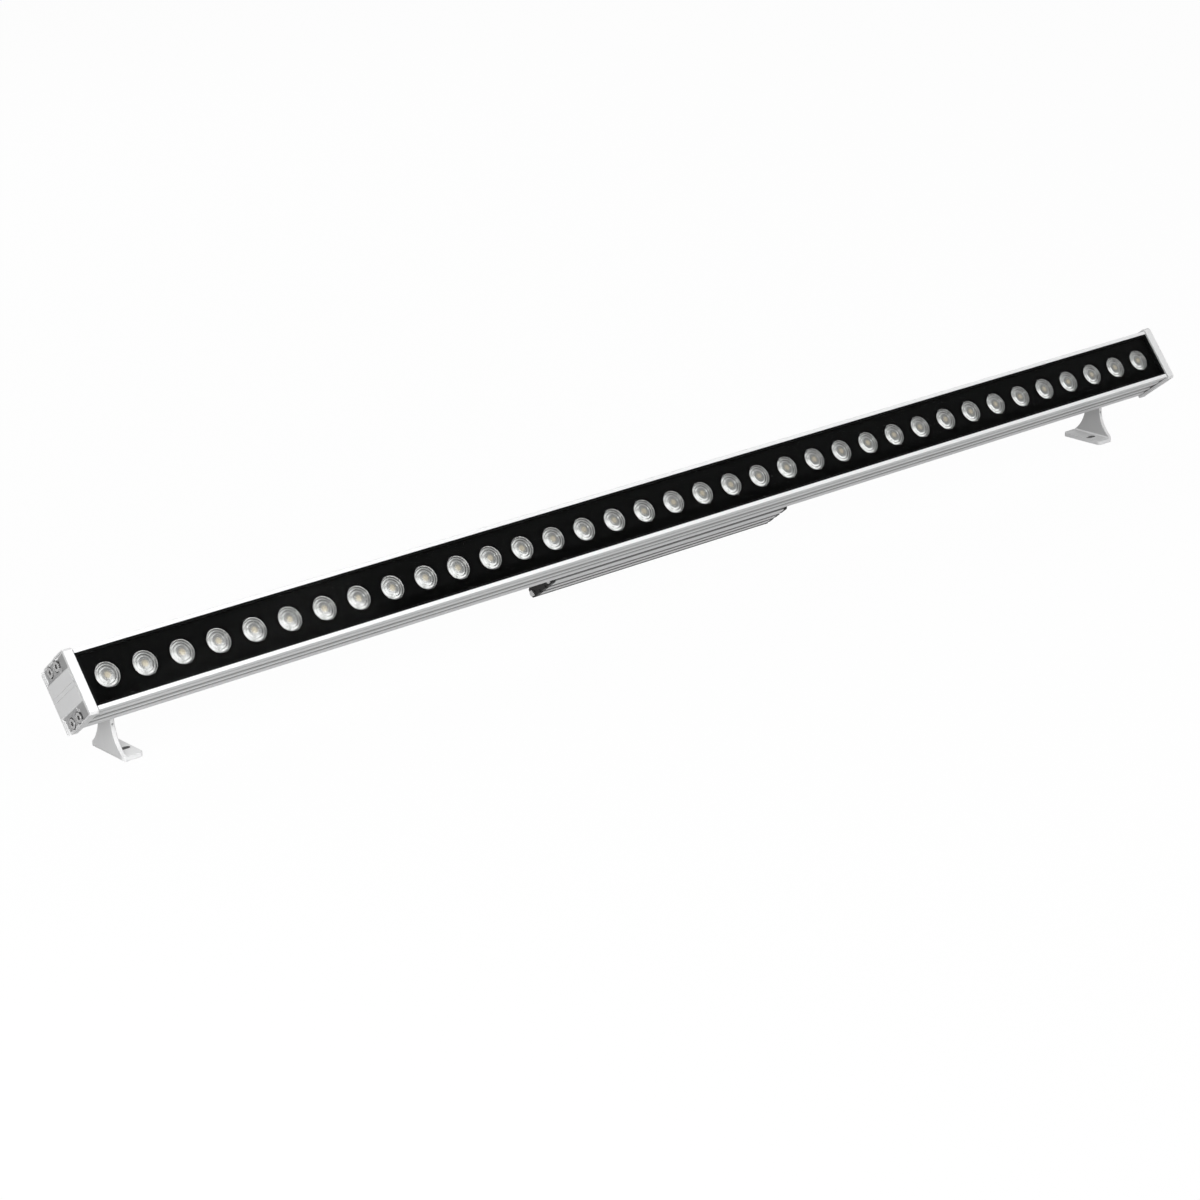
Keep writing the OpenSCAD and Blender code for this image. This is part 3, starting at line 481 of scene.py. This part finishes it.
def green_board():
    """Green solder mask with tracks in two directions."""
    f = Finish("green_board")
    x, w, z = f.parts(f.bar_spots(420))
    wander = f.noise(f.bar_spots(60), 0)
    lanes = ((x + wander * 4).fraction() > 0.72) * (wander > 0.5)
    rows = ((w + wander * 4).fraction() > 0.72) * (wander < 0.5)
    tracks = (lanes + rows).held()
    grain = f.noise(f.spots(1500), 2)
    base = f.blend(tracks, (0.012, 0.09, 0.035, 1), (0.03, 0.17, 0.06, 1))
    return f.surface(Base_Color=base, Roughness=grain * 0.1 + 0.35,
                     Normal=f.bump(tracks, 0.5, 0.00004))


def wound(name, low, high, per_metre):
    """Layers of wire or tape: fine bands round the bobbin."""
    f = Finish(name)
    bands = f.bands(f.bar_spots(1), per_metre, 0.6, 1)
    return f.surface(Base_Color=f.blend(bands, low, high), Metallic=0.2,
                     Roughness=bands * -0.15 + 0.5, Normal=f.bump(bands, 0.8, 0.0002))


def capacitor_sleeve():
    """Dark shrink sleeve with the pale stripe of the negative side."""
    f = Finish("capacitor_sleeve")
    x, w, z = f.parts(f.bar_spots(MM))
    grain = f.noise(f.spots(900), 2)
    sleeve = f.blend(grain, (0.02, 0.03, 0.07, 1), (0.03, 0.045, 0.1, 1))
    return f.surface(Base_Color=f.blend(w > SLEEVE_STRIPE, sleeve, tone(0.55)),
                     Roughness=grain * 0.1 + 0.28)


def potting():
    """Grey poured resin: cloudy, with a slightly uneven skin."""
    f = Finish("potting_resin")
    cloud = f.noise(f.spots(90), 4, 0.6)
    pits = f.noise(f.spots(700), 2)
    return f.surface(Base_Color=f.blend(cloud, tone(0.1), tone(0.17, 0.01)),
                     Roughness=pits * 0.2 + 0.4, Normal=f.bump(cloud + pits * 0.3, 0.5, 0.0004))


def insulated_wire():
    """Red wire on one side of the pair and black on the other, faintly ribbed."""
    f = Finish("insulated_wire")
    x, w, z = f.parts(f.bar_spots(MM))
    grain = f.noise(f.spots(1200, 1200, 300), 2)
    base = f.blend(x > 0, (0.015, 0.015, 0.016, 1), (0.5, 0.02, 0.015, 1))
    return f.surface(Base_Color=f.blend(grain * 0.25, base, tone(0.3)),
                     Roughness=grain * 0.1 + 0.38, Normal=f.bump(grain, 0.3, 0.00005))


def white_plastic():
    """White connector housings: satin, with a seam line along the middle."""
    f = Finish("white_plastic")
    x, w, z = f.parts(f.bar_spots(MM))
    grain = f.noise(f.spots(1400), 2)
    seam = abs(w - LINK_W) < 0.15
    base = f.blend(seam * 0.6, f.blend(grain, tone(0.72, 0.01), tone(0.8, 0.01)), tone(0.3))
    return f.surface(Base_Color=base, Roughness=grain * 0.1 + 0.4)


FINISHES = {
    drawn_aluminium(): ["housing_profile", "driver_box"],
    blasted_aluminium(): ["end_cap_left", "end_cap_right"],
    pressed_aluminium(): ["foot_left", "foot_right"],
    milled_aluminium(): ["slider_left", "slider_right", "box_t_nuts"],
    turned_steel(): ["end_cap_screws", "driver_plate_screws", "box_bolts", "board_screws",
                     "slider_screws_left", "slider_screws_right", "pivot_bolt_left",
                     "pivot_bolt_right", "pivot_washer_left", "pivot_washer_right",
                     "pivot_nut_left", "pivot_nut_right", "foot_set_screw_left",
                     "foot_set_screw_right"],
    black_coat(): ["driver_plate_left", "driver_plate_right"],
    moulded_black("moulded_black", 0.42, 0.02): ["gland_body", "gland_nut", "gland_locknut"],
    moulded_black("black_rubber", 0.62, 0.012): ["cap_gasket_left", "cap_gasket_right",
                                                 "driver_gasket_left", "driver_gasket_right",
                                                 "gland_seal", "wire_grommet"],
    moulded_black("black_sealant", 0.6, 0.003, 0.04): ["glass_sealant"],
    white_board(): ["led_board_left", "led_board_centre", "led_board_right"],
    panel_black(): ["lens_panel"],
    clear_glass(): ["front_glass"],
    green_board(): ["driver_board"],
    wound("transformer_tape", (0.45, 0.3, 0.05, 1), (0.62, 0.44, 0.1, 1), 500):
        ["driver_transformer"],
    wound("copper_winding", (0.3, 0.1, 0.03, 1), (0.75, 0.32, 0.12, 1), 900):
        ["driver_choke"],
    capacitor_sleeve(): ["driver_capacitors"],
    potting(): ["driver_potting"],
    insulated_wire(): ["lead_wires"],
    white_plastic(): ["board_links"],
}
for finish, nodes in FINISHES.items():
    for name in nodes:
        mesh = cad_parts[name].data
        mesh.materials.clear()
        mesh.materials.append(finish)

# Optics: a nearly flat middle in two rounded rings, on a foot that stands on the board. A point
# is (radius, z) in millimetres from the middle of the lens's top.
RINGS = [(8.4, -0.2), (8.25, -0.1), (8.0, -0.12), (7.85, -0.95), (7.5, -0.76), (7.1, -0.6),
         (6.7, -0.47), (6.3, -0.37), (6.1, -0.36), (6.05, -0.42), (6.0, -0.92), (5.7, -0.76),
         (5.3, -0.6), (4.8, -0.44), (4.35, -0.32), (4.15, -0.31), (4.1, -0.36)]
FOOT = [(0, -2.2), (1.6, -2.3), (2.0, -2.7), (2.1, -11.0), (4.5, -11.0), (6.5, -6.8),
        (7.9, -3.4), (8.4, -2.6)]
MIDDLE = [(r, -0.3 - 0.012 * r ** 2) for r in (4.0, 3.2, 2.4, 1.6, 0.8, 0)]
DOME = [(0, -11.0), (1.9, -11.0), (1.9, -10.1), (1.8, -10.0), (1.8, -4.6), (1.6, -4.0),
        (1.2, -3.5), (0.7, -3.2), (0, -3.1)]
led_centres = np.stack([LED_X, np.zeros(LED_COUNT), np.full(LED_COUNT, LENS_TOP)], -1)
optic = piece("lens_cups", *turned(FOOT + RINGS + MIDDLE, led_centres, 48), lens_plastic(),
              "luminaire", "lens_acrylic", 25)
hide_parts("lenses")
glow = piece("led_domes", *turned(DOME, led_centres, 24), phosphor(),
             "luminaire", "led_package", 35)
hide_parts("led_packages")

# Studio: a pale floor that keeps the shadow, soft lamps and the photograph's camera
FLOOR_HALF = 20
FLOOR_CELLS = 8
FLOOR_DROP = 0.0002
FLOOR_WHITE = 0.97  # share of plain white in the floor as the camera sees it
AIR_LEVEL = 0.25
PHOTO_SIDE = 1200  # pixels


def seen_white(tree, shader, share):
    """Turns a shader towards plain white, strength 1, for camera, glossy and transmission rays."""
    path = tree.nodes.new("ShaderNodeLightPath")
    seen = Signal(tree, path.outputs["Is Camera Ray"])
    for ray in ("Is Glossy Ray", "Is Transmission Ray"):
        seen = seen.at_least(Signal(tree, path.outputs[ray]))
    white = tree.nodes.new("ShaderNodeEmission")
    mix = tree.nodes.new("ShaderNodeMixShader")
    tree.links.new((seen * share).socket, mix.inputs[0])
    tree.links.new(shader, mix.inputs[1])
    tree.links.new(white.outputs[0], mix.inputs[2])
    return mix.outputs[0]


def studio_floor():
    """A wide floor just under the feet: nearly white to the camera, before white is mixed in, and
    mid grey to the rays that light the part from below."""
    row = FLOOR_CELLS + 1
    side = np.linspace(-FLOOR_HALF, FLOOR_HALF, row)
    x, y = np.meshgrid(side, side, indexing="ij")
    points = np.stack([x, y, np.full_like(x, -FLOOR_DROP)], -1)
    i, j = np.meshgrid(np.arange(FLOOR_CELLS), np.arange(FLOOR_CELLS), indexing="ij")
    faces = np.stack([i * row + j, (i + 1) * row + j, (i + 1) * row + j + 1, i * row + j + 1], -1)
    mesh = bpy.data.meshes.new("studio_floor")
    mesh.from_pydata(points.reshape(-1, 3), [], faces.reshape(-1, 4).tolist())
    f = Finish("pale_floor")
    paper = f.blend(f.noise(f.spots(300), 2), tone(0.28), tone(0.32))
    colour = f.blend(f.node("LightPath", out="Is Camera Ray"), paper, tone(0.95))
    pale = f.node("BsdfDiffuse", {}, {"Color": colour})
    white = Signal(f.tree, seen_white(f.tree, pale.socket, FLOOR_WHITE))
    f.node("OutputMaterial", {}, {"Surface": white})
    mesh.materials.append(f.material)
    floor = bpy.data.objects.new("studio_floor", mesh)
    bpy.context.scene.collection.objects.link(floor)


def studio_world(level):
    """Even light from all round, seen as plain white."""
    world = bpy.data.worlds.new("studio")
    world.use_nodes = True
    tree = world.node_tree
    tree.nodes.clear()
    air = tree.nodes.new("ShaderNodeBackground")
    air.inputs["Strength"].default_value = level
    out = tree.nodes.new("ShaderNodeOutputWorld")
    tree.links.new(seen_white(tree, air.outputs[0], 1), out.inputs[0])
    bpy.context.scene.world = world


def lamp(name, place, target, size, watts, spread=180):
    """A rectangular soft lamp at a place, turned to a target, that shines within an angle."""
    light = bpy.data.lights.new(name, "AREA")
    light.shape = "RECTANGLE"
    light.size, light.size_y = size
    light.energy = watts
    light.spread = math.radians(spread)
    made = bpy.data.objects.new(name, light)
    made.location = place
    made.rotation_euler = (Vector(target) - Vector(place)).to_track_quat("-Z", "Y").to_euler()
    bpy.context.scene.collection.objects.link(made)


studio_floor()
studio_world(AIR_LEVEL)
lamp("front_key", (-0.65, -1.8, 1.45), (-0.45, 0, 0.05), (2.1, 1.7), 7.5, 100)
lamp("far_front", (0.85, -1.6, 1.2), (0.3, 0, 0.05), (0.5, 1.1), 6)
lamp("overhead", (0.1, -0.65, 2.2), (0, 0, 0.05), (1.6, 0.4), 4)
lamp("low_front", (1.2, -1.9, 0.42), (0.1, 0, 0.05), (1.9, 0.45), 8)
lamp("low_left", (-0.9, -1.7, 0.25), (-0.2, 0, 0.05), (1.6, 0.4), 8.5)
lamp("left_fill", (-1.15, -0.6, 0.35), (-0.45, 0, 0.04), (0.5, 0.5), 5)
lamp("back_fill", (0.2, 1.9, 1.3), (0, 0, 0.05), (2.0, 1.0), 11)

camera = bpy.data.cameras.new("photo_camera")
camera.sensor_width = 36
camera.lens = 96.9
camera.clip_end = 100
# The camera was solved from pixel corners, so it moves by half a pixel
camera.shift_x, camera.shift_y = -0.5 / PHOTO_SIDE, 0.5 / PHOTO_SIDE
eye = bpy.data.objects.new("photo_camera", camera)
right = Vector((0.76060781, -0.64827932, -0.0347805))
up = Vector((0.24599169, 0.23820805, 0.93954511))
back = Vector((-0.60080267, -0.72318106, 0.34065423))
turn = Matrix((right, up, back)).transposed().to_4x4()
eye.matrix_world = Matrix.Translation((-1.420233, -1.636939, 0.769719)) @ turn
bpy.context.scene.collection.objects.link(eye)
bpy.context.scene.camera = eye
bpy.context.scene.view_settings.view_transform = "Standard"
